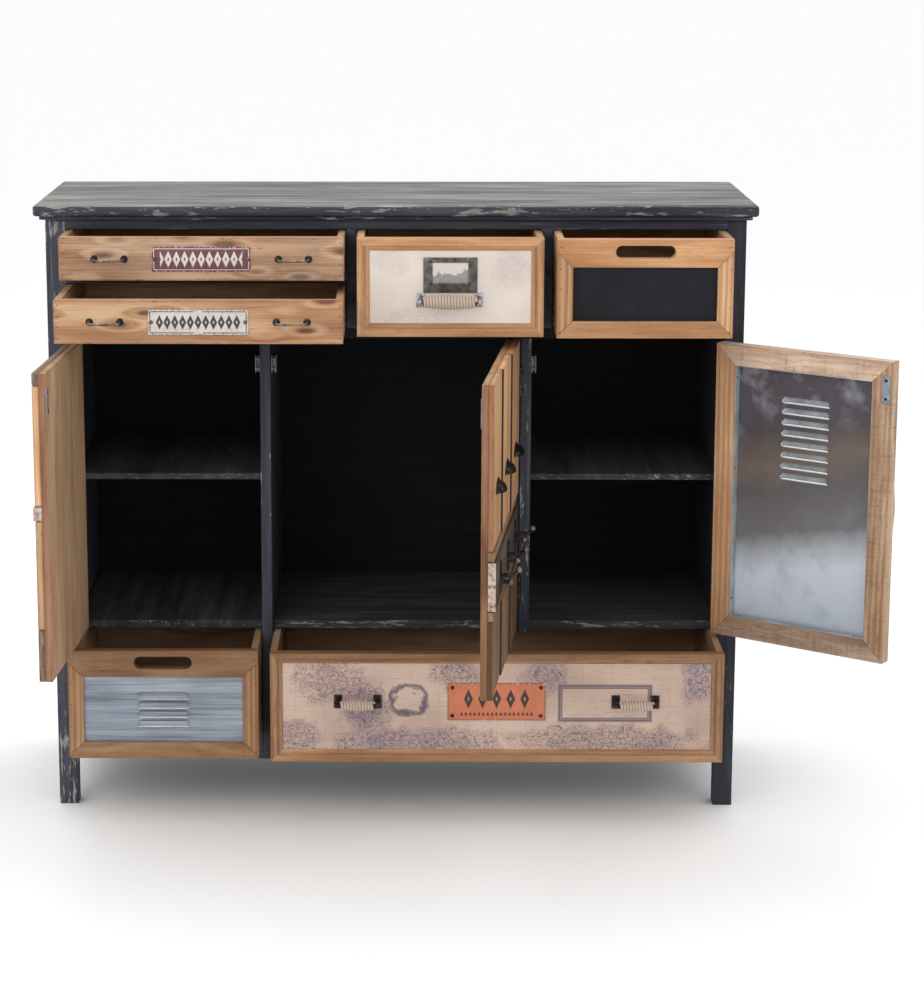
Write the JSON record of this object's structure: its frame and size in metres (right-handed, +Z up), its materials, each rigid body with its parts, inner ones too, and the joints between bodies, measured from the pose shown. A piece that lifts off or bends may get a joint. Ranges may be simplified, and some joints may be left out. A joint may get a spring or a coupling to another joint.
{
  "type": "sideboard buffet",
  "caption": "Storage sideboard on square legs with pull-out drawers above and below hinged doors, open bays with shelves, and mixed reclaimed-wood fronts.",
  "frame": {"origin": "on the floor under the middle of the carcass, midway between the outer faces of the posts, side to side and front to back", "axes": "+X to the right seen from the front, the front faces -Y, +Z up"},
  "size_m": [1.4133, 0.7909, 1.042],
  "materials": {
    "carcass_paint": "blue-black satin paint on pine, brushed, worn to brown at the edges",
    "top_paint": "slate-grey paint with long pale brush streaks",
    "raw_pine": "unfinished pine and ply",
    "waxed_pine": "waxed old pine with knots",
    "aged_planks": "grey weathered and warm reclaimed planks",
    "black_iron": "black iron, rubbed bright on the high places",
    "pewter": "dull pewter",
    "galvanised": "galvanised sheet with louvres",
    "rope": "wound natural cord",
    "maroon_tin": "maroon enamel on tin, scratched",
    "white_tin": "off-white enamel on tin, rust-spotted",
    "orange_tin": "orange enamel on tin, worn",
    "map_paper": "printed ivory map paper under varnish",
    "slate": "matt black writing board"
  },
  "bodies": {
    "carcass": {"top_board": "top_paint", "top_moulding": "carcass_paint", "front_posts": "carcass_paint", "back_posts": "carcass_paint", "side_panels": "carcass_paint", "side_rails": "carcass_paint", "back_panel": "carcass_paint", "top_rails": "carcass_paint", "split_rail": "carcass_paint", "upper_deck": "carcass_paint", "top_dividers": "carcass_paint", "left_divider": "carcass_paint", "right_divider": "carcass_paint", "bay_floors": "carcass_paint", "bottom_rails": "carcass_paint", "base_panels": "carcass_paint", "shelves": "carcass_paint", "shelf_pins": "black_iron", "drawer_runners": "raw_pine", "door_catches": "black_iron", "post_hinge_leaves": "black_iron"},
    "left_door": {"left_door_boards": "waxed_pine", "left_door_planks": "aged_planks", "left_door_pull": "black_iron", "left_door_fittings": "black_iron"},
    "middle_door": {"middle_door_boards": "waxed_pine", "middle_door_planks": "aged_planks", "middle_door_cup_pulls": "black_iron", "middle_door_hooks": "black_iron", "middle_door_fittings": "black_iron"},
    "right_door": {"right_door_frame": "waxed_pine", "right_door_sheet": "galvanised", "right_door_pull": "rope", "right_door_fittings": "black_iron"},
    "upper_drawer": {"upper_drawer_front": "waxed_pine", "upper_drawer_box": "raw_pine", "upper_drawer_pulls": "black_iron", "upper_drawer_nameplate": "maroon_tin"},
    "lower_drawer": {"lower_drawer_front": "waxed_pine", "lower_drawer_box": "raw_pine", "lower_drawer_pulls": "black_iron", "lower_drawer_nameplate": "white_tin"},
    "map_drawer": {"map_drawer_frame": "waxed_pine", "map_drawer_panel": "map_paper", "map_drawer_box": "raw_pine", "map_drawer_label_holder": "pewter", "map_drawer_brackets": "pewter", "map_drawer_grip": "rope"},
    "slate_drawer": {"slate_drawer_frame": "waxed_pine", "slate_drawer_panel": "slate", "slate_drawer_box": "raw_pine"},
    "zinc_drawer": {"zinc_drawer_frame": "waxed_pine", "zinc_drawer_sheet": "galvanised", "zinc_drawer_box": "raw_pine"},
    "wide_drawer": {"wide_drawer_frame": "waxed_pine", "wide_drawer_panel": "map_paper", "wide_drawer_box": "raw_pine", "wide_drawer_number_plate": "orange_tin", "wide_drawer_brackets": "black_iron", "wide_drawer_grips": "rope"}
  },
  "joints": [
    {"name": "left_door_hinge", "type": "hinge", "parent": "carcass", "child": "left_door", "pos_m": [-0.54875, -0.189, 0.566], "axis": [0, 0, -1], "range_deg": [-93.5, 56]},
    {"name": "middle_door_hinge", "type": "hinge", "parent": "carcass", "child": "middle_door", "pos_m": [0.2095, -0.189, 0.566], "axis": [0, 0, 1], "range_deg": [-83, 22]},
    {"name": "right_door_hinge", "type": "hinge", "parent": "carcass", "child": "right_door", "pos_m": [0.54875, -0.189, 0.566], "axis": [0, 0, 1], "range_deg": [-144, 15]},
    {"name": "upper_drawer_slide", "type": "slide", "parent": "carcass", "child": "upper_drawer", "axis": [0, -1, 0], "range_m": [-0.095, 0.165]},
    {"name": "lower_drawer_slide", "type": "slide", "parent": "carcass", "child": "lower_drawer", "axis": [0, -1, 0], "range_m": [-0.175, 0.085]},
    {"name": "map_drawer_slide", "type": "slide", "parent": "carcass", "child": "map_drawer", "axis": [0, -1, 0], "range_m": [-0.102, 0.158]},
    {"name": "slate_drawer_slide", "type": "slide", "parent": "carcass", "child": "slate_drawer", "axis": [0, -1, 0], "range_m": [-0.115, 0.145]},
    {"name": "zinc_drawer_slide", "type": "slide", "parent": "carcass", "child": "zinc_drawer", "axis": [0, -1, 0], "range_m": [-0.11, 0.15]},
    {"name": "wide_drawer_slide", "type": "slide", "parent": "carcass", "child": "wide_drawer", "axis": [0, -1, 0], "range_m": [-0.125, 0.135]}
  ]
}
